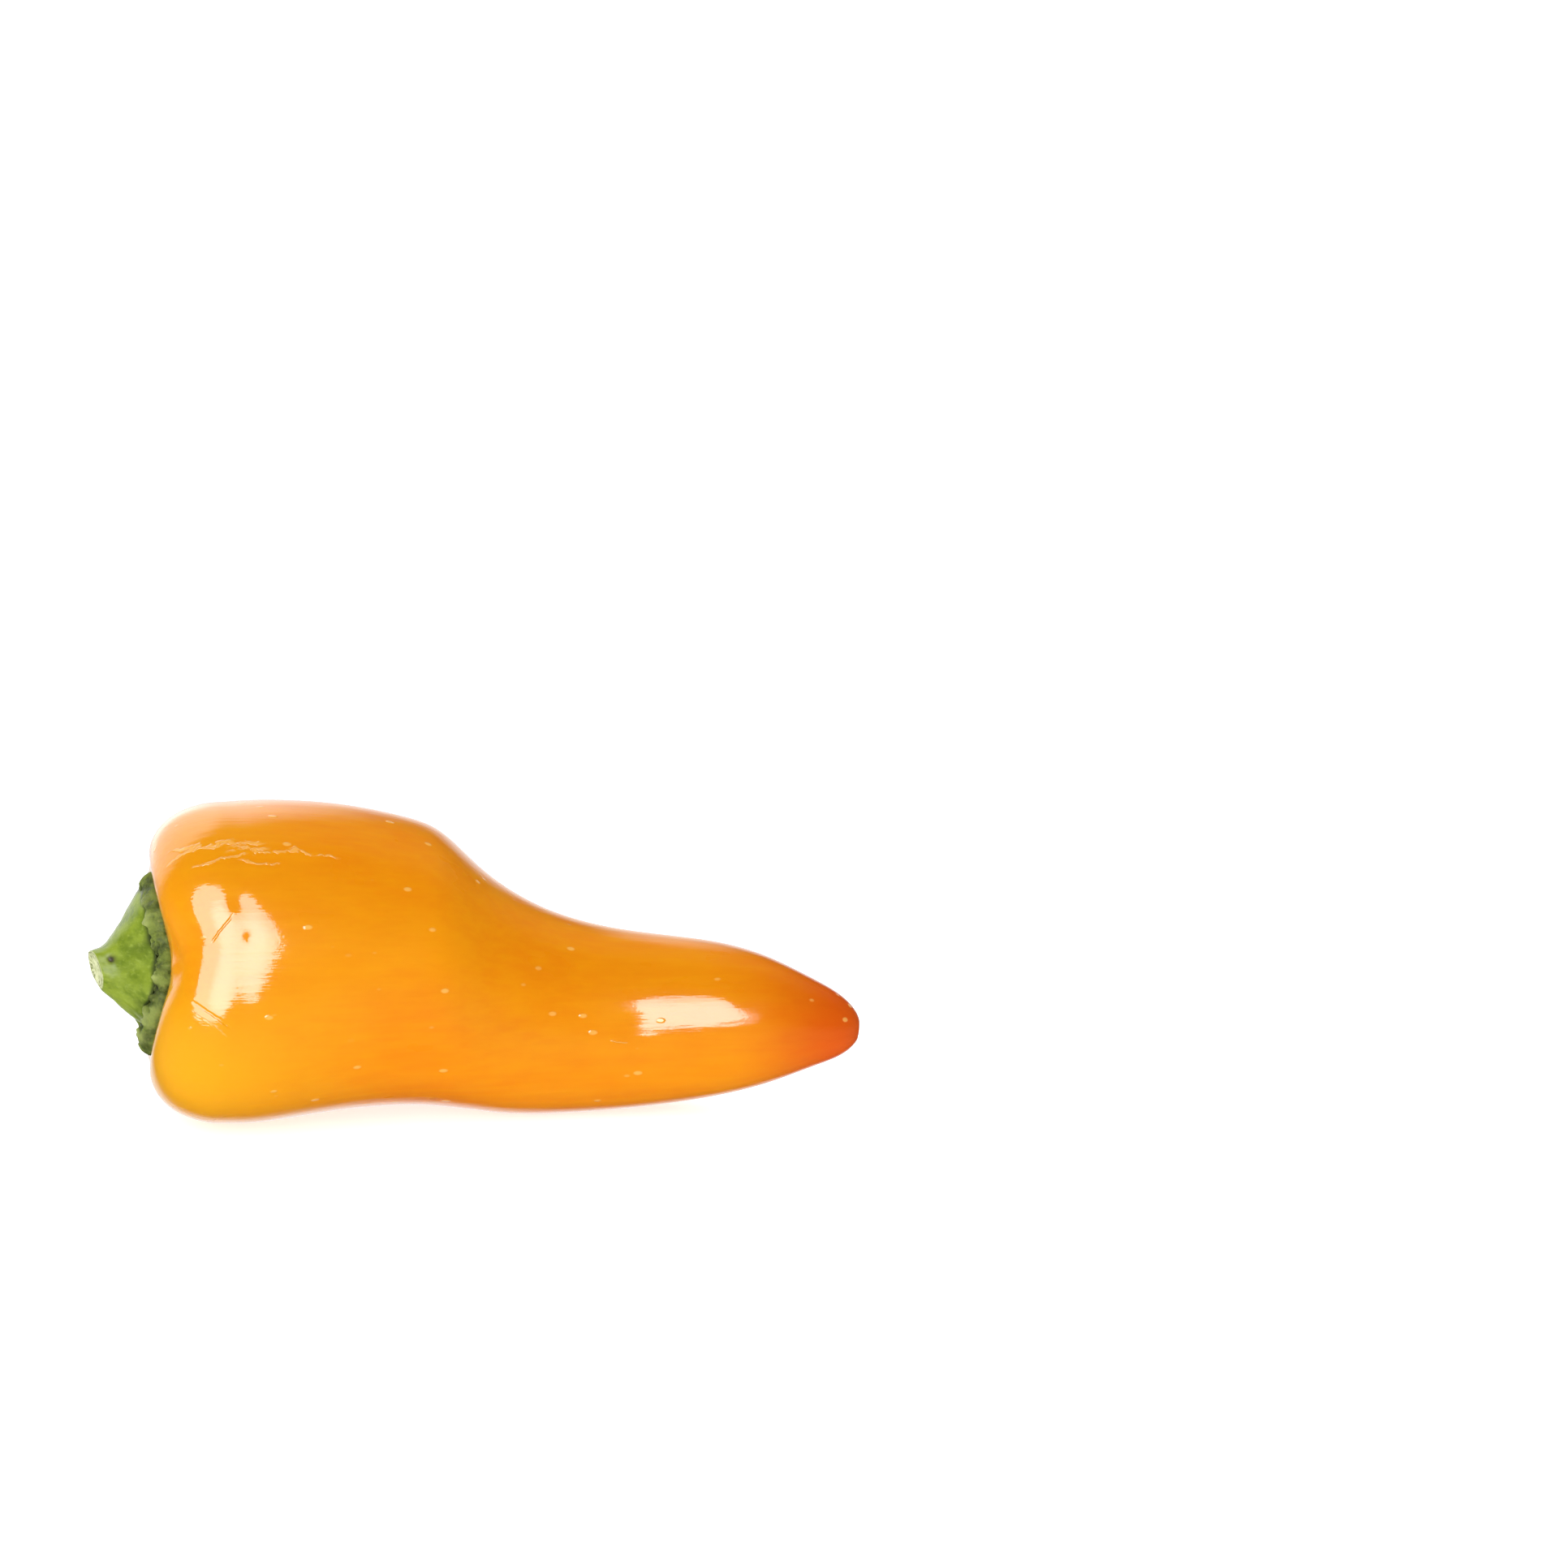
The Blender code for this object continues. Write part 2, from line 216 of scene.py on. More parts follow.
# The stem's flare: share of its height, and share of the way from the cut radius to the base's.
STEM_FLARE = (
    (0.0, 1.0), (0.10, 0.90), (0.20, 0.78), (0.33, 0.61), (0.48, 0.43), (0.71, 0.18), (1.0, 0.0)
)
STEM_SIDE = 0.3 * MM
STEM_DROOP = 0.7 * MM
STEM_SAG = 0.45 * MM
STEM_RIBS = 5
STEM_FOOT = 1.35 * MM
STEM_HIDDEN = 1.5 * MM
FOOT_SPREAD = 0.38
FOOT_SPREAD_TURN = 0.15
UPPER_HOLLOW = 0.4

# The cut end: its slant, and the rings of its face as shares of its radius.
CUT_YAW = math.radians(12)
CUT_TILT = math.radians(14)
CUT_RINGS = (0.97, 0.93, 0.88, 0.82, 0.76, 0.70, 0.62, 0.54, 0.45, 0.35, 0.25, 0.15, 0.07)

# The small dark knot on the stem.
KNOT_ANGLE = math.radians(40)
KNOT_HEIGHT = 0.74
KNOT_RADIUS = 0.42 * MM

# Colours of small marks, and of painted shade at the collar's rim and in crevices.
PIT_BROWN = (0.25, 0.06, 0.004, 1.0)
RIM_PAINTED_SHADE = (0.30, 0.055, 0.004, 1.0)
SCAR_BROWN = (0.13, 0.05, 0.015, 1.0)
CREVICE_PAINTED_SHADE = (0.022, 0.030, 0.004, 1.0)
DRY_BROWN = (0.20, 0.17, 0.06, 1.0)
FOOT_PAINTED_SHADE = (0.030, 0.045, 0.004, 1.0)
PITH_LIGHT = (0.60, 0.62, 0.36, 1.0)
BUNDLE_GREEN = (0.09, 0.11, 0.02, 1.0)
KNOT_BROWN = (0.045, 0.035, 0.015, 1.0)

# The places of a mix node's sockets for colours.
FACTOR, FIRST_COLOUR, SECOND_COLOUR = 0, 6, 7
MIXED_COLOUR = 2

# Scales of the skin's specks and pits, in cells to the metre.
SPECKS = 430.0
PITS = 120.0

# The softboxes: turn from the front and height in degrees, distance, width and height.
WINDOW_SOFTBOX = (-23.5, 23, 0.60, 0.60, 0.56)
REAR_FILL = (160, 52, 0.80, 1.2, 0.9)

# Soft glows that the skin mirrors: direction, where the glow starts and is full, as the cosine to
# that direction, and the brightness outside and inside.
HORIZON_GLOW = ((0.0, 1.0, -0.3), 0.80, 1.02, 0.02, 1.0)
REAR_GLOW = ((-0.48, 0.76, 0.43), 0.73, 0.90, 0.0, 1.2)
WINDOW_CORE = ((-0.16, -0.93, 0.34), 0.955, 0.995, 0.0, 2.0)
SKY_LIGHT = 0.40

FLOOR_RADIUS = 3
FLOOR_SIDES = 96
CAMERA_TURN = math.radians(-2)
CAMERA_LIFT = math.radians(16)
CAMERA_TARGET = Vector((0, 0, 0.0195))
SENSOR_WIDTH = 36


def spline(table):
    """A smooth curve through a table's values, with a continuous curvature."""
    table = np.asarray(table, float)
    knots, values = table[:, 0], table[:, 1:]
    spans = np.diff(knots)[:, None]
    count = len(knots)
    system = np.eye(count)
    target = np.zeros_like(values)
    for i in range(1, count - 1):
        before, after = spans[i - 1, 0], spans[i, 0]
        system[i, i - 1 : i + 2] = before, 2 * (before + after), after
        rise = (values[i + 1] - values[i]) / after - (values[i] - values[i - 1]) / before
        target[i] = 6 * rise
    bends = np.linalg.solve(system, target)

    def at(x):
        x = np.atleast_1d(np.asarray(x, float))
        i = np.clip(np.searchsorted(knots, x) - 1, 0, count - 2)
        span = spans[i]
        left = (knots[i + 1] - x)[:, None] / span
        right = (x - knots[i])[:, None] / span
        bend = (left**3 - left) * bends[i] + (right**3 - right) * bends[i + 1]
        return left * values[i] + right * values[i + 1] + bend * span**2 / 6

    return at


def outline_curve(length, width):
    """The half outline as a curve of (distance along, radius), and its share at the widest."""
    half = np.array([(a * length, r * width / 2) for a, r in OUTLINE])
    mirror = np.array((1, -1))
    ahead, behind = half[3:0:-1] * mirror, half[-2:-5:-1] * mirror
    points = np.concatenate([ahead, half, behind])
    knots = np.concatenate([[0], np.cumsum(np.linalg.norm(np.diff(points, axis=0), axis=1))])
    crown, tip = knots[len(ahead)], knots[-1 - len(behind)]
    widest = knots[len(ahead) + int(np.argmax(half[:, 1]))]
    curve = spline(np.column_stack([knots, points]))

    def at(share):
        return curve(crown + (tip - crown) * np.asarray(share, float))

    return at, (widest - crown) / (tip - crown)


def smooth_step(low, high, x):
    t = np.clip((np.asarray(x, float) - low) / (high - low), 0, 1)
    return t * t * (3 - 2 * t)


def waves(points, scale, seed):
    """Smooth noise between -1 and 1 at each point."""
    shift = Vector((seed * 7.31, seed * 3.17, seed * 5.71))
    return np.array([noise.noise(Vector(p) / scale + shift) for p in points])


def bumps_1d(angle, count, seed):
    """Smooth noise round a circle."""
    return waves(
        np.column_stack([np.cos(angle) * count, np.sin(angle) * count, np.full_like(angle, seed)]),
        1.0,
        seed,
    )


class FruitShape:
    """The fruit's smooth skin as a function of the share along it and the angle round it."""

    def __init__(self, length, width, lobe_depth):
        self.length, self.width, self.lobe_depth = length, width, lobe_depth
        self.outline, self.widest_share = outline_curve(length, width)
        self.middle = spline(MIDDLE_LINE)
        self.fade = spline(LOBE_FADE)
        self.shift = np.zeros(3)
        self.pitch = np.array(Matrix.Rotation(LYING_PITCH, 3, "Y"))

    def turns(self, share):
        """The cross-sections' turn matrices at shares of the length."""
        amount = np.exp(-(((share - WIDEST) / CROWN_REACH) ** 2))
        yaw, pitch = CROWN_YAW * amount, CROWN_PITCH * amount
        cy, sy, cp, sp = np.cos(yaw), np.sin(yaw), np.cos(pitch), np.sin(pitch)
        rows = [[cy * cp, -sy, cy * sp], [sy * cp, cy, sy * sp], [-sp, np.zeros_like(sp), cp]]
        return np.moveaxis(np.array(rows), -1, 0)

    def points(self, share, angle):
        """Points of the skin, for arrays of the same length."""
        share, angle = np.broadcast_arrays(np.asarray(share, float), np.asarray(angle, float))
        share, angle = share.ravel(), angle.ravel()
        along, radius = self.outline(share).T
        fraction = np.maximum(along, 0) / self.length
        uneven = LOBE_UNEVENNESS * np.sin(angle + LOBE_UNEVEN_FROM)
        fuller = 1 + NEAR_LOBES_FULLER * np.cos(angle)
        wave = np.cos(LOBES * (angle + uneven - FIRST_LOBE)) * fuller
        full = 2 * radius / self.width
        on_crown = np.exp(-(((full - CROWN_VALLEY_AT) / CROWN_VALLEY_SPREAD) ** 2))
        fade = self.fade(np.minimum(fraction, 1))[:, 0]
        radius = radius + self.lobe_depth * fade * wave * np.minimum(full, 1)
        on_crown = on_crown * (1 - smooth_step(0.3 * WIDEST, WIDEST, fraction))
        along = along - CROWN_VALLEY * wave * on_crown
        place = np.maximum(along / self.length, WIDEST)
        side, height = (self.middle(np.minimum(place, 1)) * self.width).T
        local = np.column_stack(
            [along - place * self.length, -np.cos(angle) * radius, np.sin(angle) * radius]
        )
        centre = np.column_stack([place * self.length, side, height])
        points = centre + np.einsum("nij,nj->ni", self.turns(place), local)
        return points @ self.pitch.T + self.shift

    def normals(self, share, angle):
        """The skin's outward directions, for arrays of the same length."""
        share, angle = np.broadcast_arrays(np.asarray(share, float), np.asarray(angle, float))
        share, angle = share.ravel(), angle.ravel()
        step = 0.002
        safe = np.clip(share, 2 * step, 1 - 2 * step)
        along = self.points(safe + step, angle) - self.points(safe - step, angle)
        around = self.points(safe, angle + step) - self.points(safe, angle - step)
        out = np.cross(along, around)
        return out / np.linalg.norm(out, axis=1)[:, None]

    def share_at_radius(self, radius):
        """How far along the outline, on the crown, the skin reaches each radius."""
        radius = np.asarray(radius, float)
        low, high = np.zeros_like(radius), np.full_like(radius, self.widest_share)
        for _ in range(30):
            middle = (low + high) / 2
            short = self.outline(middle)[:, 1] < radius
            low, high = np.where(short, middle, low), np.where(short, high, middle)
        return (low + high) / 2

    def settle(self):
        """Moves the shape to where the solid fruit lies."""
        low, high = (np.array(v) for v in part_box("fruit"))
        share, angle = np.meshgrid(np.linspace(0.01, 1, 200), np.linspace(0, 2 * math.pi, 120))
        all_points = self.points(share, angle)
        mine_low, mine_high = all_points.min(0), all_points.max(0)
        middle = (low + high) / 2 - (mine_low + mine_high) / 2
        self.shift = np.array(
            [high[0] - mine_high[0], middle[1], low[2] - FLAT_DEPTH - mine_low[2]]
        )
        return self


def fruit_shape():
    sizes = bpy.context.scene.pepper_fruit
    return FruitShape(sizes.length, sizes.width, sizes.lobe_depth).settle()


def grid_faces(rings, around):
    """Faces that join rings of points, whose ends are closed by the two points after them."""
    j = np.arange(around)
    k = (j + 1) % around
    first = rings * around
    last, start = first + 1, first - around
    faces = []
    for near in range(0, start, around):
        far = near + around
        faces += np.column_stack([near + j, near + k, far + k, far + j]).tolist()
    faces += np.column_stack([np.full(around, first), k, j]).tolist()
    faces += np.column_stack([np.full(around, last), start + j, start + k]).tolist()
    return faces


def add_piece(name, points, faces, material, node):
    """A smooth-shaded piece that stands for a solid and rides on the body."""
    mesh = bpy.data.meshes.new(name)
    mesh.from_pydata([tuple(p) for p in points], [], faces)
    mesh.validate()
    mesh.materials.append(material)
    mesh.shade_smooth()
    piece = bpy.data.objects.new(name, mesh)
    bpy.context.scene.collection.objects.link(piece)
    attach(piece, "root")
    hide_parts(node)
    return piece


def add_values(piece, name, values):
    """A number at each point, which the material reads by name."""
    attribute = piece.data.attributes.new(name, "FLOAT", "POINT")
    attribute.data.foreach_set("value", np.asarray(values, np.float32))


class Shading:
    """Short calls that make and join a material's nodes."""

    def __init__(self, name):
        self.material = bpy.data.materials.new(name)
        self.material.use_nodes = True
        self.nodes = self.material.node_tree.nodes
        self.links = self.material.node_tree.links
        self.shader = self.nodes["Principled BSDF"]
        self.place = self.nodes.new("ShaderNodeTexCoord").outputs["Object"]

    def set(self, **values):
        for name, value in values.items():
            self.shader.inputs[name.replace("_", " ")].default_value = value

    def join(self, value, socket):
        if isinstance(value, (int, float, tuple)):
            socket.default_value = value
        else:
            self.links.new(value, socket)

    def value(self, name):
        node = self.nodes.new("ShaderNodeAttribute")
        node.attribute_name = name
        return node.outputs["Fac"]

    def stretched(self, x, y, z, shift=(0.0, 0.0, 0.0)):
        """The object's own coordinates, scaled along each axis."""
        node = self.nodes.new("ShaderNodeMapping")
        node.inputs["Scale"].default_value = (x, y, z)
        node.inputs["Location"].default_value = shift
        self.links.new(self.place, node.inputs["Vector"])
        return node.outputs["Vector"]

    def noise(self, vector, scale, detail=3.0, rough=0.5):
        node = self.nodes.new("ShaderNodeTexNoise")
        self.links.new(vector, node.inputs["Vector"])
        node.inputs["Scale"].default_value = scale
        node.inputs["Detail"].default_value = detail
        node.inputs["Roughness"].default_value = rough
        return node.outputs["Fac"]

    def cells(self, vector, scale, output="Distance"):
        node = self.nodes.new("ShaderNodeTexVoronoi")
        self.links.new(vector, node.inputs["Vector"])
        node.inputs["Scale"].default_value = scale
        return node.outputs[output]

    def math(self, kind, a, b=0.0, c=0.0):
        node = self.nodes.new("ShaderNodeMath")
        node.operation = kind
        for value, socket in zip((a, b, c), node.inputs):
            self.join(value, socket)
        return node.outputs[0]

    def range(self, value, low, high, to_low=0.0, to_high=1.0):
        node = self.nodes.new("ShaderNodeMapRange")
        node.interpolation_type = "SMOOTHSTEP"
        for given, socket in zip((value, low, high, to_low, to_high), node.inputs):
            self.join(given, socket)
        return node.outputs["Result"]

    def mix(self, factor, a, b):
        node = self.nodes.new("ShaderNodeMix")
        node.data_type = "RGBA"
        for given, socket in ((factor, FACTOR), (a, FIRST_COLOUR), (b, SECOND_COLOUR)):
            self.join(given, node.inputs[socket])
        return node.outputs[MIXED_COLOUR]

    def bump(self, height, distance, strength=1.0, under=None):
        node = self.nodes.new("ShaderNodeBump")
        node.inputs["Strength"].default_value = strength
        node.inputs["Distance"].default_value = distance
        self.links.new(height, node.inputs["Height"])
        if under is not None:
            self.links.new(under, node.inputs["Normal"])
        return node.outputs["Normal"]

    def finish(self, colour, rough, normal):
        self.join(colour, self.shader.inputs["Base Color"])
        self.join(rough, self.shader.inputs["Roughness"])
        self.join(normal, self.shader.inputs["Normal"])
        return self.material


def rgba(colour):
    return (*colour, 1.0)


def skin_material():
    """Waxy orange skin: clouded colour, fine lengthwise streaks, dry scratches and pale specks, a
    pale line that is a painted highlight, painted shade at the calyx's rim, a red tip that is partly
    painted shade, and a yellow lower shoulder that is partly painted light.
    """
    colours = bpy.context.scene.pepper_fruit
    s = Shading("fruit_skin")
    s.set(Coat_Weight=1.0, Coat_Roughness=0.06, Coat_IOR=1.85, Specular_IOR_Level=0.1)
    s.set(Subsurface_Weight=0.12, Subsurface_Scale=0.003)
    s.shader.inputs["Subsurface Radius"].default_value = (1.0, 0.35, 0.05)

    clouds = s.noise(s.stretched(0.45, 1, 1), 85.0, 4.0, 0.6)
    streaks = s.noise(s.stretched(0.05, 1, 1), 1000.0, 3.0, 0.65)
    mottle = s.noise(s.stretched(0.5, 1, 1), 420.0, 3.0, 0.6)
    depth = s.math("ADD", s.math("MULTIPLY", clouds, 0.5), s.math("MULTIPLY", streaks, 0.32))
    depth = s.math("ADD", depth, s.math("MULTIPLY", mottle, 0.18))
    colour = s.mix(s.range(depth, 0.36, 0.64), rgba(colours.deep_orange), rgba(colours.golden))
    # Yellower near the stem and strongest on the lower side: partly the skin's own colour, partly
    # painted light.
    colour = s.mix(s.value("pale"), colour, rgba(colours.shoulder_yellow_and_painted_light))
    # Deeper red towards the tip: partly the skin's own colour, partly painted shade.
    colour = s.mix(s.value("tip_red_and_shade"), colour, rgba(colours.tip_red_and_shade_colour))

    along, around = s.value("along_mm"), s.value("around_mm")
    waver = s.math("SUBTRACT", s.noise(s.stretched(1, 1, 1), 260.0, 3.0, 0.6), 0.5)
    broken = s.range(s.noise(s.stretched(1, 1, 1, (2.0, 1.0, 0.0)), 620.0, 2.0, 0.6), 0.40, 0.52)
    frayed = s.noise(s.stretched(0.15, 1, 1), 2600.0, 2.0, 0.5)

    def lines(table, edge):
        total = None
        for place, turn, half_length, slant, half_width, wander in table:
            past = s.math("SUBTRACT", along, place)
            line = s.math("MULTIPLY_ADD", past, slant, turn)
            line = s.math("MULTIPLY_ADD", waver, 4.0 * wander, line)
            off = s.math("ABSOLUTE", s.math("SUBTRACT", around, line))
            thick = s.math("MULTIPLY", frayed, 2.2 * half_width)
            across = s.range(s.math("SUBTRACT", off, thick), edge, -0.02)
            ends = s.range(s.math("ABSOLUTE", past), half_length, 0.6 * half_length)
            one = s.math("MULTIPLY", across, ends)
            total = one if total is None else s.math("MAXIMUM", total, one)
        return total

    # Cork-coloured scratches, and one pale line that is a painted highlight.
    cork_and_painted_highlight = s.math("MULTIPLY", lines(SCRATCHES_AND_PAINTED_HIGHLIGHT, 0.10), broken)
    crease = lines(CREASES, 0.34)
    colour = s.mix(s.math("MULTIPLY", cork_and_painted_highlight, 0.55), colour, rgba(colours.cork_and_painted_highlight))

    grid = s.stretched(0.55, 1, 1, (1.3, 0.4, 2.2))
    size_of = s.cells(grid, SPECKS, "Color")
    specks = s.math(
        "MULTIPLY", s.range(s.cells(grid, SPECKS), 0.16, 0.08), s.range(size_of, 0.48, 0.50)
    )
    colour = s.mix(s.math("MULTIPLY", specks, 0.65), colour, rgba(colours.cork_and_painted_highlight))
    pits = s.stretched(1, 1, 1, (5.1, 1.7, 0.3))
    dark = s.math(
        "MULTIPLY",
        s.range(s.cells(pits, PITS), 0.035, 0.015),
        s.range(s.cells(pits, PITS, "Color"), 0.66, 0.70),
    )
    colour = s.mix(s.math("MULTIPLY", dark, 0.5), colour, PIT_BROWN)

    # Painted shade along the skin where the calyx's rim meets it.
    colour = s.mix(s.value("edge"), colour, RIM_PAINTED_SHADE)
    colour = s.mix(s.value("blossom"), colour, SCAR_BROWN)

    fine = s.noise(s.stretched(0.08, 1, 1), 1300.0, 3.0, 0.6)
    pores = s.noise(s.stretched(0.8, 1, 1), 2600.0, 2.0, 0.5)
    normal = s.bump(streaks, 0.00005, 0.6)
    normal = s.bump(fine, 0.00004, 0.6, normal)
    normal = s.bump(pores, 0.00001, 0.6, normal)
    normal = s.bump(cork_and_painted_highlight, 0.00008, 0.8, normal)
    normal = s.bump(specks, 0.00006, 0.8, normal)
    normal = s.bump(s.math("SUBTRACT", 1.0, crease), 0.00008, 0.9, normal)
    rough = s.range(clouds, 0.3, 0.7, 0.26, 0.36)
    rough = s.math("ADD", rough, s.math("MULTIPLY", cork_and_painted_highlight, 0.3))
    s.links.new(normal, s.shader.inputs["Coat Normal"])
    return s.finish(colour, rough, normal)


def calyx_material():
    """Dull grey-green collar with painted shade in its crevices, and pale, worn lumps."""
    colours = bpy.context.scene.pepper_green
    s = Shading("calyx")
    s.set(IOR=1.4)
    blotches = s.noise(s.stretched(1, 1, 1), 650.0, 4.0, 0.6)
    grain = s.noise(s.stretched(1, 1, 1), 2600.0, 3.0, 0.6)
    colour = s.mix(s.range(blotches, 0.35, 0.65), rgba(colours.calyx_dark), rgba(colours.calyx))
    colour = s.mix(s.value("worn"), colour, rgba(colours.calyx_worn))
    # Painted shade in the crevices and in the hollows between lumps.
    colour = s.mix(s.value("crevice_shade"), colour, CREVICE_PAINTED_SHADE)
    colour = s.mix(s.math("MULTIPLY", s.range(grain, 0.60, 0.72), 0.5), colour, DRY_BROWN)
    normal = s.bump(blotches, 0.00035, 0.7)
    normal = s.bump(grain, 0.00010, 0.6, normal)
    rough = s.range(blotches, 0.3, 0.7, 0.42, 0.66)
    return s.finish(colour, rough, normal)


def stem_material():
    """Bright green stalk with darker ribs, painted shade at its foot, and a pale fibrous cut."""
    colours = bpy.context.scene.pepper_green
    s = Shading("stem")
    s.set(Coat_Weight=0.15, Coat_Roughness=0.25)
    blotches = s.noise(s.stretched(0.5, 1, 1), 420.0, 4.0, 0.6)
    fibres = s.noise(s.stretched(0.15, 1, 1), 2400.0, 3.0, 0.6)
    colour = s.mix(s.range(blotches, 0.32, 0.66), rgba(colours.stem_dark), rgba(colours.stem))
    pale = s.math("MULTIPLY", s.range(fibres, 0.5, 0.7), 0.35)
    colour = s.mix(pale, colour, rgba(colours.stem_light))
    # Painted shade at the foot and between the ribs near it.
    colour = s.mix(s.value("crevice_shade"), colour, FOOT_PAINTED_SHADE)
    pith = s.mix(
        s.range(s.noise(s.stretched(1, 1, 1), 1700.0, 3.0, 0.6), 0.35, 0.65),
        rgba(colours.pith),
        PITH_LIGHT,
    )
    pith = s.mix(s.value("bundles"), pith, BUNDLE_GREEN)
    colour = s.mix(s.value("cut"), colour, pith)
    colour = s.mix(s.value("knot"), colour, KNOT_BROWN)
    normal = s.bump(blotches, 0.00018, 0.5)
    normal = s.bump(fibres, 0.00005, 0.6, normal)
    rough = s.range(blotches, 0.3, 0.7, 0.30, 0.46)
    rough = s.math("ADD", rough, s.math("MULTIPLY", s.value("cut"), 0.25))
    return s.finish(colour, rough, normal)


def floor_material():
    s = Shading("floor")
    s.set(Base_Color=(0.86, 0.86, 0.86, 1.0), Roughness=0.6, Specular_IOR_Level=0.2)
    s.set(Emission_Color=(1.0, 1.0, 1.0, 1.0), Emission_Strength=0.67)
    return s.material


def tooth_reach(angle):
    """How far the calyx's teeth carry its rim out at each angle."""
    reach = np.zeros_like(angle)
    for degrees, length in CALYX_TEETH:
        turned = angle - math.radians(degrees)
        apart = np.abs(np.arctan2(np.sin(turned), np.cos(turned)))
        reach += length * np.maximum(0, 1 - apart / TOOTH_HALF_WIDTH) ** TOOTH_POINT
    return reach


def calyx_rim(angle):
    """The calyx's ragged rim."""
    radius = bpy.context.scene.pepper_green.calyx_radius
    ragged = 0.22 * bumps_1d(angle, 6.0, 3) + 0.16 * bumps_1d(angle, 15.0, 5)
    return radius + tooth_reach(angle) + ragged * MM


def crown_points(shape, out, angle, above):
    """Points over the crown, out from its middle and above the skin."""
    share = shape.share_at_radius(out)
    return shape.points(share, angle) + shape.normals(share, angle) * np.asarray(above)[:, None]


def evened(points, fraction):
    """The rings of points with the shoulders' lengthwise curve made even."""
    rings = points.reshape(FRUIT_ALONG - 1, FRUIT_AROUND, 3)
    reach = np.arange(-EVEN_RINGS, EVEN_RINGS + 1)
    weight = np.exp(-((reach / EVEN_SPREAD) ** 2))
    before, after = rings[:1].repeat(EVEN_RINGS, 0), rings[-1:].repeat(EVEN_RINGS, 0)
    padded = np.concatenate([before, rings, after])
    soft = sum(
        w * padded[EVEN_RINGS + r : EVEN_RINGS + r + len(rings)]
        for r, w in zip(reach, weight / weight.sum())
    )
    share = smooth_step(*EVEN_FROM, fraction) * (1 - smooth_step(*EVEN_TO, fraction))
    return points + share[:, None] * (soft.reshape(-1, 3) - points)


class PEPPER_OT_fruit(bpy.types.Operator):
    """Make the fruit's lobed, waxy skin"""

    bl_idname = "pepper.fruit"
    bl_label = "Fruit"

    def execute(self, context):
        shape = fruit_shape()
        even = np.arange(1, FRUIT_ALONG) / FRUIT_ALONG
        shares = even - END_CROWDING * np.sin(2 * math.pi * even) / (2 * math.pi)
        turn = np.arange(FRUIT_AROUND) * 2 * math.pi / FRUIT_AROUND
        share, angle = (a.ravel() for a in np.meshgrid(shares, turn, indexing="ij"))
        share = np.concatenate([share, [0, 1]])
        angle = np.concatenate([angle, [0, 0]])
        points = shape.points(share, angle)
        normals = shape.normals(share, angle)
        along, out = shape.outline(share).T
        fraction = np.clip(along / shape.length, 0, 1)
        points[:-2] = evened(points[:-2], fraction[:-2])

        body = smooth_step(0.0, 0.10, share) * (1 - smooth_step(0.93, 1.0, share))
        height = np.zeros(len(points))
        for seed, (scale, tall) in enumerate(SKIN_WAVES):
            height += tall * waves(points * (0.7, 1, 1), scale, seed + 1) * body
        ridge = np.cos(RIDGES * angle + 2.0 * np.sin(share * 5) + np.sin(3 * angle))
        height += RIDGE_HEIGHT * ridge * body
        for place, degrees, radius, deep in DENTS:
            centre = shape.points([place], [math.radians(degrees)])[0]
            away = np.linalg.norm(points - centre, axis=1) / radius
            height -= deep * np.exp(-(away**2))

        facing = np.clip(np.cos(angle - NEAR_SIDE_TURN), 0, 1) ** NEAR_SIDE_NARROWING
        height += spline(NEAR_SIDE)(fraction)[:, 0] * MM * facing
        for degrees, begin, end, half_width, deep in GROOVES:
            apart = (np.degrees(angle) - degrees + 180) % 360 - 180
            bank = (np.abs(apart) - GROOVE_BANK_AT * half_width) / half_width
            across = np.exp(-((apart / half_width) ** 2)) - GROOVE_BANK * np.exp(-(bank**2))
            reach = smooth_step(begin - 0.05, begin + 0.03, share)
            reach = reach * (1 - smooth_step(end - 0.10, end + 0.06, share))
            height -= deep * across * reach

        tip = np.linalg.norm(points - (points[-1] + np.array((0, 0, -SCAR_DROP))), axis=1)
        blossom = 1 - smooth_step(*SCAR_RIM, tip)
        height -= SCAR_HOLLOW * (1 - smooth_step(*SCAR_HOLLOW_RIM, tip))

        rim = calyx_rim(angle)
        on_crown = share < shape.widest_share
        relief = COLLAR_RELIEF + (1 - COLLAR_RELIEF) * smooth_step(0, COLLAR_REACH, out - rim)
        height *= np.where(on_crown, relief, 1)
        # Painted shade on the skin along the calyx's rim.
        edge = np.where(on_crown, np.exp(-(((out - rim) / COLLAR_PAINTED_SHADE_WIDTH) ** 2)), 0)
        points = points + normals * height[:, None]
        points[:, 2] = (points[:, 2] + np.sqrt(points[:, 2] ** 2 + REST_SOFTNESS**2)) / 2

        faces = [face[::-1] for face in grid_faces(FRUIT_ALONG - 1, FRUIT_AROUND)]
        piece = add_piece("fruit_skin", points, faces, skin_material(), "fruit")

        along = (points[:, 0] - points[:, 0].min()) / np.ptp(points[:, 0])
        # The shoulder's yellow, stronger on the lower side: partly the skin's own colour, partly
        # painted light from below.
        low = smooth_step(0.0, -0.9, np.sin(angle - math.radians(16)))
        cloud = waves(points, 16 * MM, 9)
        # The tip's red mask: partly the skin's own colour, partly painted shade.
        tip_red_and_shade = smooth_step(0.80, 1.0, along + 0.05 * cloud)
        pale = (1 - smooth_step(0.06, 0.40, along)) * (0.35 + 0.65 * low)
        add_values(piece, "tip_red_and_shade", tip_red_and_shade * 0.9)
        add_values(piece, "pale", np.clip(pale + 0.25 * cloud * (1 - tip_red_and_shade), 0, 1))
        add_values(piece, "along_mm", (points[:, 0] + shape.length / 2) / MM)
        add_values(piece, "around_mm", (np.degrees(angle) + ROUND_START) % 360 * ROUND_STEP)
        # The painted shade along the calyx's rim.
        add_values(piece, "edge", edge * 0.7)
        add_values(piece, "blossom", blossom)
        return {"FINISHED"}


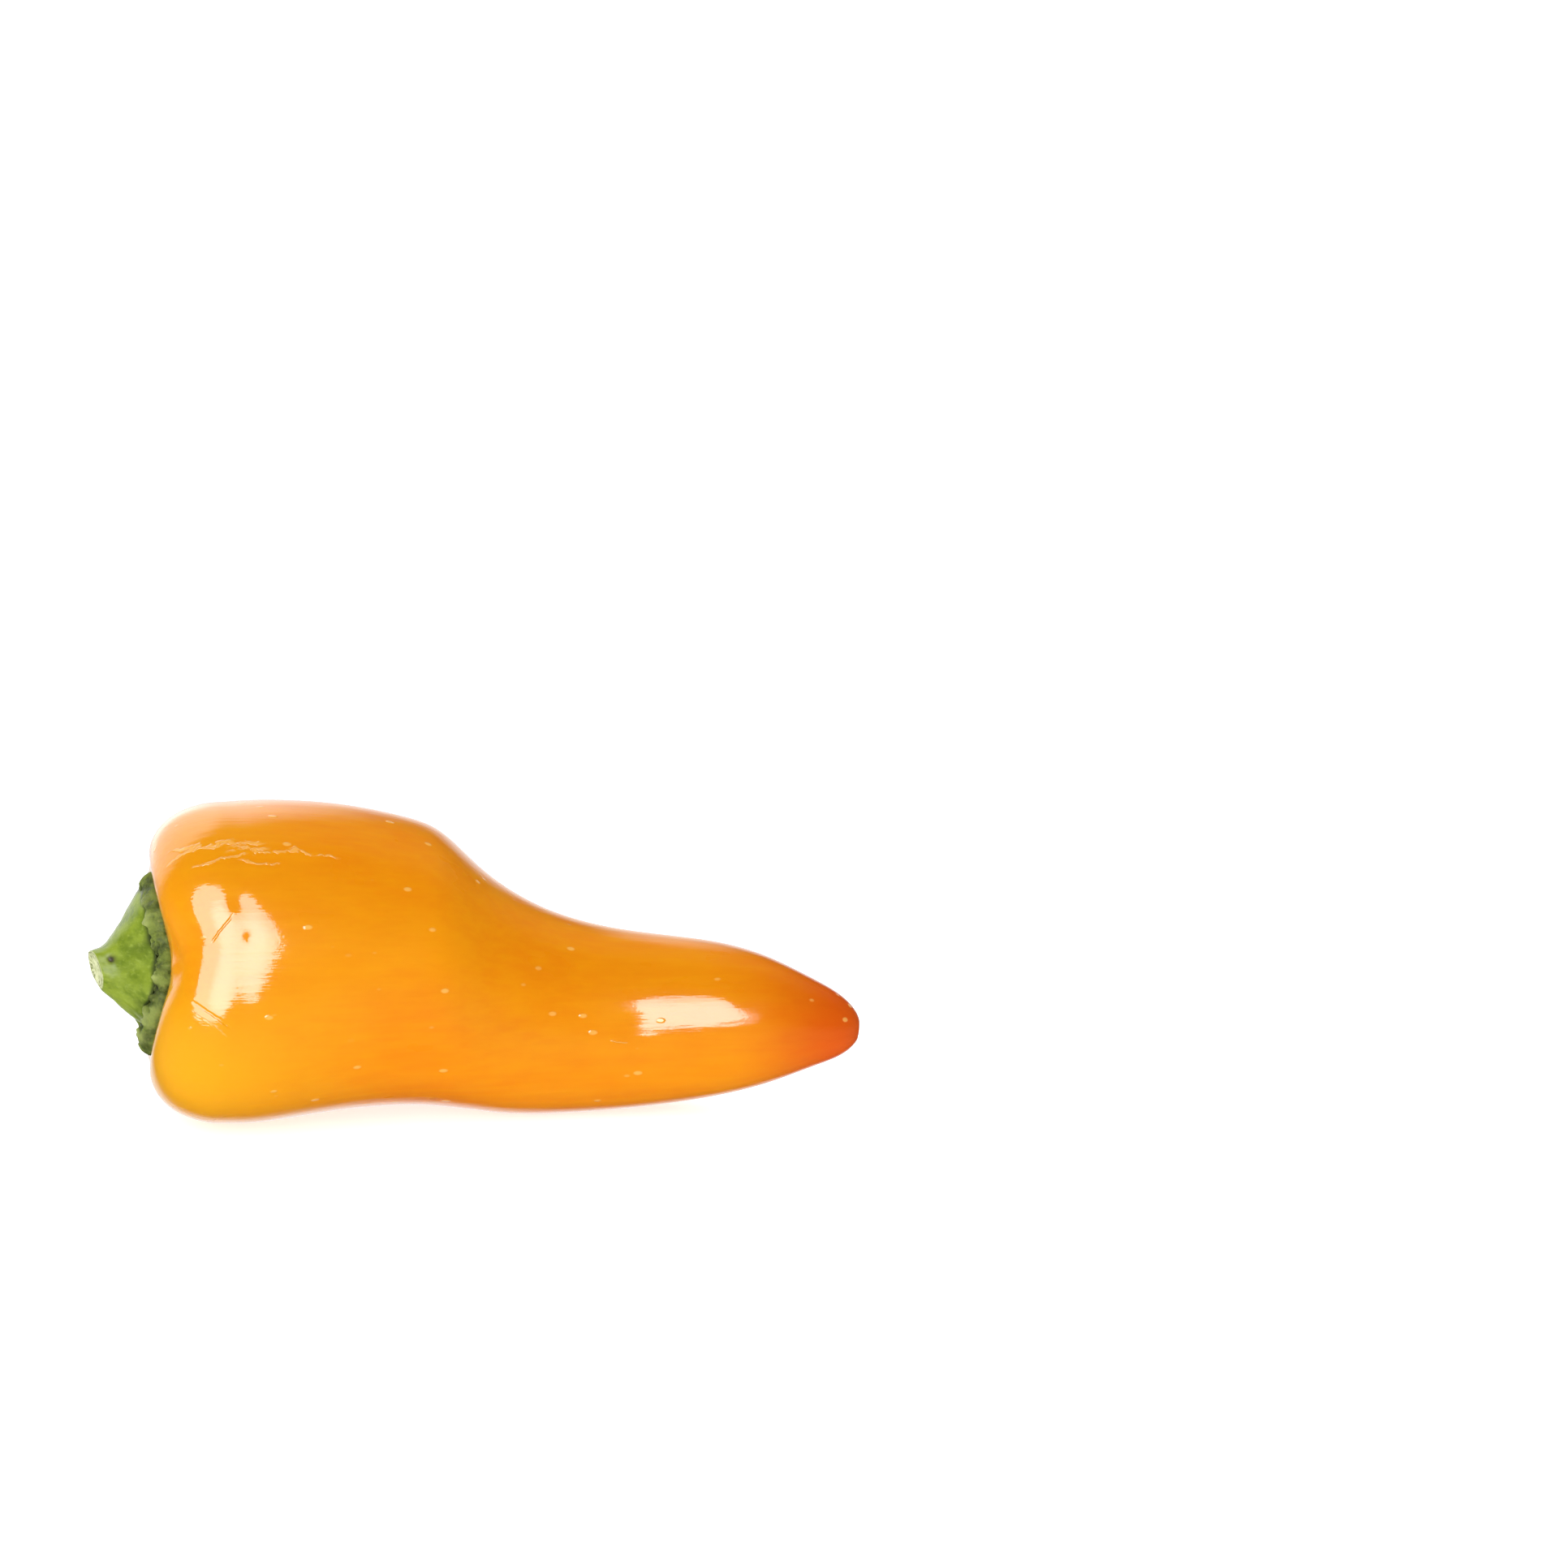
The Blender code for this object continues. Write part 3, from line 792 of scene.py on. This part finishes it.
class PEPPER_OT_calyx(bpy.types.Operator):
    """Make the lumpy green collar that caps the crown"""

    bl_idname = "pepper.calyx"
    bl_label = "Calyx"

    def execute(self, context):
        shape = fruit_shape()
        turn = np.arange(CALYX_AROUND) * 2 * math.pi / CALYX_AROUND
        rim = calyx_rim(turn)
        profile = spline(CALYX_PROFILE)
        under = np.linspace(0.4, 1.0, 5)
        over = np.concatenate([np.linspace(1.0, 0.6, 44), np.linspace(0.55, 0.15, 5)])
        rings, crevice_shade, worn = [], [], []
        for part in under:
            rings.append(crown_points(shape, rim * part, turn, np.full(CALYX_AROUND, -CALYX_BURIED)))
            crevice_shade.append(np.zeros(CALYX_AROUND))
            worn.append(np.zeros(CALYX_AROUND))
        for part in over:
            flat = crown_points(shape, rim * part, turn, np.zeros(CALYX_AROUND))
            above = np.full(CALYX_AROUND, profile([part])[0, 0])
            swell = math.exp(-(((part - CALYX_SWELL_AT) / CALYX_SWELL_SPREAD) ** 2))
            calm = 0.35 + 0.65 * smooth_step(-0.2, 0.5, np.cos(turn + math.radians(12)))
            big = waves(flat, CALYX_LUMPS[0], 21) * calm
            small = waves(flat, CALYX_LUMPS[1], 22) * calm
            ribs = np.cos(CALYX_RIBS * turn + 2.5 * np.sin(3 * turn))
            above = above + MM * swell * (0.85 * big + 0.45 * small + 0.10 * ribs)
            above = above + MM * 0.22 * small * smooth_step(0.62, 0.75, part)
            above = np.maximum(above, CALYX_LEAST)
            rings.append(crown_points(shape, rim * part, turn, above))
            # Painted shade: a ring in the crevice and the hollows between lumps.
            deep = math.exp(-(((part - CALYX_CREVICE_AT) / CALYX_CREVICE_SPREAD) ** 2))
            crevice_shade.append(np.clip(deep + 2.0 * swell * (-big - 0.5 * small - 0.12), 0, 1))
            worn.append(np.clip(swell * smooth_step(0.05, 0.45, big + 0.4 * small), 0, 1))
        faces = grid_faces(len(rings), CALYX_AROUND)
        middle = (-CALYX_BURIED, profile([0])[0, 0])
        ends = [crown_points(shape, [0.0], [0.0], [above])[0] for above in middle]
        points = np.concatenate([*rings, ends])
        piece = add_piece("calyx", points, faces, calyx_material(), "calyx")
        add_values(piece, "crevice_shade", np.concatenate([*crevice_shade, [0, 0]]))
        add_values(piece, "worn", np.concatenate([*worn, [0, 0]]))
        return {"FINISHED"}


class PEPPER_OT_stem(bpy.types.Operator):
    """Make the short ribbed stem and its cut end"""

    bl_idname = "pepper.stem"
    bl_label = "Stem"

    def execute(self, context):
        sizes = context.scene.pepper_green
        shape = fruit_shape()
        crown = shape.pitch @ shape.turns(np.array([WIDEST]))[0]
        turn = np.arange(STEM_AROUND) * 2 * math.pi / STEM_AROUND
        upper = np.clip(np.sin(turn - FOOT_SPREAD_TURN), 0, 1) ** 1.5
        out = sizes.stem_base * (1 + FOOT_SPREAD * upper)
        foot = crown_points(shape, out, turn, np.full(STEM_AROUND, STEM_FOOT))
        base = crown_points(shape, [0.0], [0.0], [STEM_FOOT])[0]
        start = (foot - base) @ crown
        flare_at = spline(STEM_FLARE)
        length, narrow = sizes.stem_length + STEM_HIDDEN, sizes.stem_cut
        ribs = np.cos(STEM_RIBS * turn + 0.6) + 0.35 * np.cos(2 * STEM_RIBS * turn + 2.0)
        ribs = ribs + 0.5 * bumps_1d(turn, 2.2, 31)
        rings, crevice_shade, cut, knot, bundles = [], [], [], [], []

        def ring(height, radius):
            yaw = Matrix.Rotation(CUT_YAW * height, 3, "Z")
            tilt = yaw @ Matrix.Rotation(-CUT_TILT * height, 3, "Y")
            sunk = -STEM_DROOP * height**2 - STEM_SAG * math.sin(math.pi * height)
            across = np.column_stack([np.zeros(STEM_AROUND), -np.cos(turn), np.sin(turn)])
            tilted = (across * radius[:, None]) @ np.array(tilt).T
            centre = np.column_stack(
                [
                    start[:, 0] * (1 - height) - length * height,
                    np.full(STEM_AROUND, -STEM_SIDE * height),
                    np.full(STEM_AROUND, sunk),
                ]
            )
            return base + (centre + tilted) @ crown.T

        for height in np.linspace(0.0, 1.0, STEM_RINGS):
            flare = flare_at([height])[0, 0]
            radius = narrow + (out - narrow) * flare ** (1 + UPPER_HOLLOW * np.sin(turn))
            radius = radius + ribs * MM * (0.06 + 0.26 * flare)
            spots = ring(height, radius)
            lumps = 0.16 * waves(spots, 2.0 * MM, 33) + 0.06 * waves(spots, 0.8 * MM, 34)
            radius = radius + lumps * MM * (1 - smooth_step(0.9, 1.0, height))
            away = np.hypot((turn - KNOT_ANGLE) * radius, (height - KNOT_HEIGHT) * length)
            spot = np.exp(-((away / KNOT_RADIUS) ** 2))
            radius = radius - 0.20 * MM * spot - 0.10 * MM * smooth_step(0.965, 1.0, height)
            rings.append(ring(height, radius))
            # Painted shade between the ribs near the foot and along the foot's line.
            groove = np.clip(-ribs - 0.55, 0, 1) * (1 - smooth_step(0.1, 0.55, height))
            foot_line = 0.09 + 0.07 * bumps_1d(turn, 4.0, 35)
            low = 1 - smooth_step(0.3, 1.4, height / foot_line)
            crevice_shade.append(np.clip(groove * 0.6 + low * 0.9, 0, 1))
            cut.append(np.full(STEM_AROUND, smooth_step(0.985, 1.0, height)))
            knot.append(np.clip(spot * 1.3, 0, 1))
            bundles.append(np.zeros(STEM_AROUND))
        edge = radius
        inward = crown @ np.array((1, 0, 0))
        for part in CUT_RINGS:
            raised = 0.05 * math.exp(-(((part - 0.84) / 0.06) ** 2))
            sunk = 0.16 * smooth_step(0.80, 0.45, part) - raised
            spots = ring(1.0, edge * part)
            rough = 0.05 * waves(spots, 0.5 * MM, 41) + 0.03 * waves(spots, 0.22 * MM, 42)
            rings.append(spots + inward * (MM * (sunk + rough))[:, None])
            crevice_shade.append(np.zeros(STEM_AROUND))
            cut.append(np.ones(STEM_AROUND))
            knot.append(np.zeros(STEM_AROUND))
            band = math.exp(-(((part - 0.93) / 0.045) ** 2)) * (0.6 + 0.4 * bumps_1d(turn, 4.0, 43))
            patches = smooth_step(0.1, 0.5, bumps_1d(turn, 5.0, 44))
            spokes = math.exp(-(((part - 0.70) / 0.09) ** 2)) * patches
            bundles.append(np.clip(band + 0.9 * spokes, 0, 1))
        faces = grid_faces(len(rings), STEM_AROUND)
        points = np.concatenate([*rings, [base, rings[-1].mean(0)]])
        piece = add_piece("stem", points, faces, stem_material(), "stem")
        add_values(piece, "crevice_shade", np.concatenate([*crevice_shade, [1, 0]]))
        add_values(piece, "cut", np.concatenate([*cut, [0, 1]]))
        add_values(piece, "knot", np.concatenate([*knot, [0, 0]]))
        add_values(piece, "bundles", np.concatenate([*bundles, [0, 0]]))
        return {"FINISHED"}


def away_from(turn, lift):
    """The direction at a turn from the front and a height, both as angles."""
    level = math.cos(lift)
    return Vector((math.sin(turn) * level, -math.cos(turn) * level, math.sin(lift)))


def add_light(name, place, power, target):
    """A round softbox that faces the target."""
    turn, lift, away, width, height = place
    light = bpy.data.lights.new(name, "AREA")
    light.shape = "ELLIPSE"
    light.size, light.size_y = width, height
    light.energy = power
    lamp = bpy.data.objects.new(name, light)
    back = away_from(math.radians(turn), math.radians(lift))
    lamp.location = target + back * away
    lamp.rotation_euler = back.to_track_quat("Z", "Y").to_euler()
    lamp.visible_camera = False
    bpy.context.scene.collection.objects.link(lamp)
    return lamp


class PEPPER_OT_stage(bpy.types.Operator):
    """Make the pale floor, the soft studio light and the camera"""

    bl_idname = "pepper.stage"
    bl_label = "Stage"

    def execute(self, context):
        scene = context.scene
        stage = scene.pepper_stage
        low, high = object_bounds()
        target = Vector((0, 0, (high.z - low.z) / 2))

        floor = bpy.data.meshes.new("floor")
        turns = np.linspace(0, 2 * math.pi, FLOOR_SIDES + 1)[:-1]
        corners = [
            (FLOOR_RADIUS * math.cos(turn), FLOOR_RADIUS * math.sin(turn), low.z) for turn in turns
        ]
        floor.from_pydata(corners, [], [list(range(FLOOR_SIDES))])
        floor.materials.append(floor_material())
        ground = bpy.data.objects.new("floor", floor)
        ground.visible_glossy = False
        scene.collection.objects.link(ground)
        ground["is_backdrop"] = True

        add_light("window_softbox", WINDOW_SOFTBOX, stage.window_power, target)
        fill = add_light("rear_fill", REAR_FILL, stage.rear_power, target)
        fill.visible_glossy = False

        world = bpy.data.worlds.new("studio")
        world.use_nodes = True
        nodes, links = world.node_tree.nodes, world.node_tree.links
        ground_light = nodes["Background"]
        way = nodes.new("ShaderNodeTexCoord")

        def glow(toward, edge, full, dark, bright):
            """Brightness that rises softly towards one direction."""
            facing = nodes.new("ShaderNodeVectorMath")
            facing.operation = "DOT_PRODUCT"
            facing.inputs[1].default_value = toward
            ramp = nodes.new("ShaderNodeMapRange")
            ramp.interpolation_type = "SMOOTHSTEP"
            for socket, value in zip(list(ramp.inputs)[1:5], (edge, full, dark, bright)):
                socket.default_value = value
            links.new(way.outputs["Generated"], facing.inputs[0])
            links.new(facing.outputs["Value"], ramp.inputs["Value"])
            return ramp.outputs["Result"]

        def added(first, second):
            total = nodes.new("ShaderNodeMath")
            total.operation = "ADD"
            links.new(first, total.inputs[0])
            links.new(second, total.inputs[1])
            return total.outputs[0]

        path = nodes.new("ShaderNodeLightPath")
        strength = added(added(glow(*HORIZON_GLOW), glow(*REAR_GLOW)), glow(*WINDOW_CORE))
        for ray, value in (("Is Diffuse Ray", SKY_LIGHT), ("Is Camera Ray", 1.0)):
            pick = nodes.new("ShaderNodeMix")
            links.new(path.outputs[ray], pick.inputs["Factor"])
            links.new(strength, pick.inputs["A"])
            pick.inputs["B"].default_value = value
            strength = pick.outputs["Result"]
        links.new(strength, ground_light.inputs["Strength"])
        ground_light.inputs["Color"].default_value = (1, 1, 1, 1)
        scene.world = world

        lens = bpy.data.cameras.new("camera")
        lens.sensor_width = SENSOR_WIDTH
        lens.lens = SENSOR_WIDTH * stage.distance / stage.field_width
        camera = bpy.data.objects.new("camera", lens)
        camera.location = CAMERA_TARGET + away_from(CAMERA_TURN, CAMERA_LIFT) * stage.distance
        aim = CAMERA_TARGET
        for _ in range(4):
            look = (aim - camera.location).to_track_quat("-Z", "Y")
            right, up = look @ Vector((1, 0, 0)), look @ Vector((0, 1, 0))
            aim = CAMERA_TARGET + right * stage.aim_right + up * stage.aim_up
        camera.rotation_euler = look.to_euler()
        scene.collection.objects.link(camera)
        scene.camera = camera
        scene.view_settings.view_transform = "Standard"
        scene.view_settings.look = "None"
        return {"FINISHED"}


def size(name, default, text):
    return FloatProperty(name=name, description=text, default=default, unit="LENGTH", precision=4)


def tint(name, default, text):
    return FloatVectorProperty(
        name=name, description=text, default=default, subtype="COLOR", size=3, min=0, max=1
    )


class PepperFruit(bpy.types.PropertyGroup):
    """Sizes and colours of the fruit"""

    length: size("Length", 87.1 * MM, "Length of the fruit without its stem")
    width: size("Width", 39.8 * MM, "Width of the fruit across its shoulders")
    lobe_depth: size("Lobe depth", 1.0 * MM, "How far the lobes stand out at the shoulders")
    deep_orange: tint("Deep orange", (0.66, 0.192, 0.0), "Darker clouds of the skin")
    golden: tint("Golden", (0.69, 0.240, 0.0), "Lighter clouds of the skin")
    # The shoulder's yellow is partly the skin's own colour, partly painted light on its lower side.
    shoulder_yellow_and_painted_light: tint("Yellow", (0.69, 0.315, 0.004), "Shoulder near the stem")
    # The tip's red is partly the skin's own colour, partly painted shade.
    tip_red_and_shade_colour: tint("Ripe red", (0.56, 0.062, 0.0), "Ripest skin, at the tip")
    # Colour of the scratches and specks, also used for a painted highlight line.
    cork_and_painted_highlight: tint("Cork", (0.78, 0.43, 0.10), "Dry scratches and specks")


class PepperGreen(bpy.types.PropertyGroup):
    """Sizes and colours of the calyx and the stem"""

    calyx_radius: size("Calyx radius", 10.4 * MM, "Radius of the collar without its teeth")
    stem_length: size("Stem length", 4.9 * MM, "How far the stem stands out of the calyx")
    stem_base: size("Stem base", 7.3 * MM, "Radius of the stem where it leaves the calyx")
    stem_cut: size("Stem cut", 2.4 * MM, "Radius of the cut end")
    calyx: tint("Calyx", (0.155, 0.200, 0.026), "Collar")
    calyx_dark: tint("Calyx dark", (0.050, 0.072, 0.008), "Dark blotches of the collar")
    calyx_worn: tint("Calyx worn", (0.28, 0.33, 0.09), "Dry tops of the collar's lumps")
    stem: tint("Stem", (0.215, 0.29, 0.012), "Stalk")
    stem_dark: tint("Stem dark", (0.115, 0.175, 0.006), "Dark patches of the stalk")
    stem_light: tint("Stem light", (0.30, 0.38, 0.06), "Pale fibres of the stalk")
    pith: tint("Pith", (0.38, 0.42, 0.18), "Cut end")


class PepperStage(bpy.types.PropertyGroup):
    """Light and camera"""

    window_power: FloatProperty(
        name="Softbox", description="Power of the large softbox", default=2.9, unit="POWER"
    )
    rear_power: FloatProperty(
        name="Rear fill", description="Power of the soft fill behind", default=8.5, unit="POWER"
    )
    distance: size("Camera distance", 0.95, "From the camera to the pepper")
    field_width: size("Field width", 0.1932, "Width that the camera sees at the pepper")
    aim_right: size("Aim right", 0.0382, "How far right of the pepper the camera aims")
    aim_up: size("Aim up", 0.0208, "How far above the pepper the camera aims")


class PEPPER_PT_panel(bpy.types.Panel):
    """Sizes, colours and the buttons that make each piece"""

    bl_idname = "PEPPER_PT_panel"
    bl_label = "Mini Sweet Pepper"
    bl_space_type = "VIEW_3D"
    bl_region_type = "UI"
    bl_category = "Pepper"

    def draw(self, context):
        groups = (
            (context.scene.pepper_fruit, ("pepper.fruit",)),
            (context.scene.pepper_green, ("pepper.calyx", "pepper.stem")),
            (context.scene.pepper_stage, ("pepper.stage",)),
        )
        for settings, buttons in groups:
            box = self.layout.box()
            for name in settings.__annotations__:
                box.prop(settings, name)
            for button in buttons:
                box.operator(button)


CLASSES = (
    PepperFruit,
    PepperGreen,
    PepperStage,
    PEPPER_OT_fruit,
    PEPPER_OT_calyx,
    PEPPER_OT_stem,
    PEPPER_OT_stage,
    PEPPER_PT_panel,
)


def register():
    for kind in CLASSES:
        bpy.utils.register_class(kind)
    bpy.types.Scene.pepper_fruit = PointerProperty(type=PepperFruit)
    bpy.types.Scene.pepper_green = PointerProperty(type=PepperGreen)
    bpy.types.Scene.pepper_stage = PointerProperty(type=PepperStage)


def unregister():
    del bpy.types.Scene.pepper_stage
    del bpy.types.Scene.pepper_green
    del bpy.types.Scene.pepper_fruit
    for kind in reversed(CLASSES):
        bpy.utils.unregister_class(kind)


def main():
    register()
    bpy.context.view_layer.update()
    bpy.ops.pepper.fruit()
    bpy.ops.pepper.calyx()
    bpy.ops.pepper.stem()
    bpy.ops.pepper.stage()


if __name__ == "__main__":
    main()
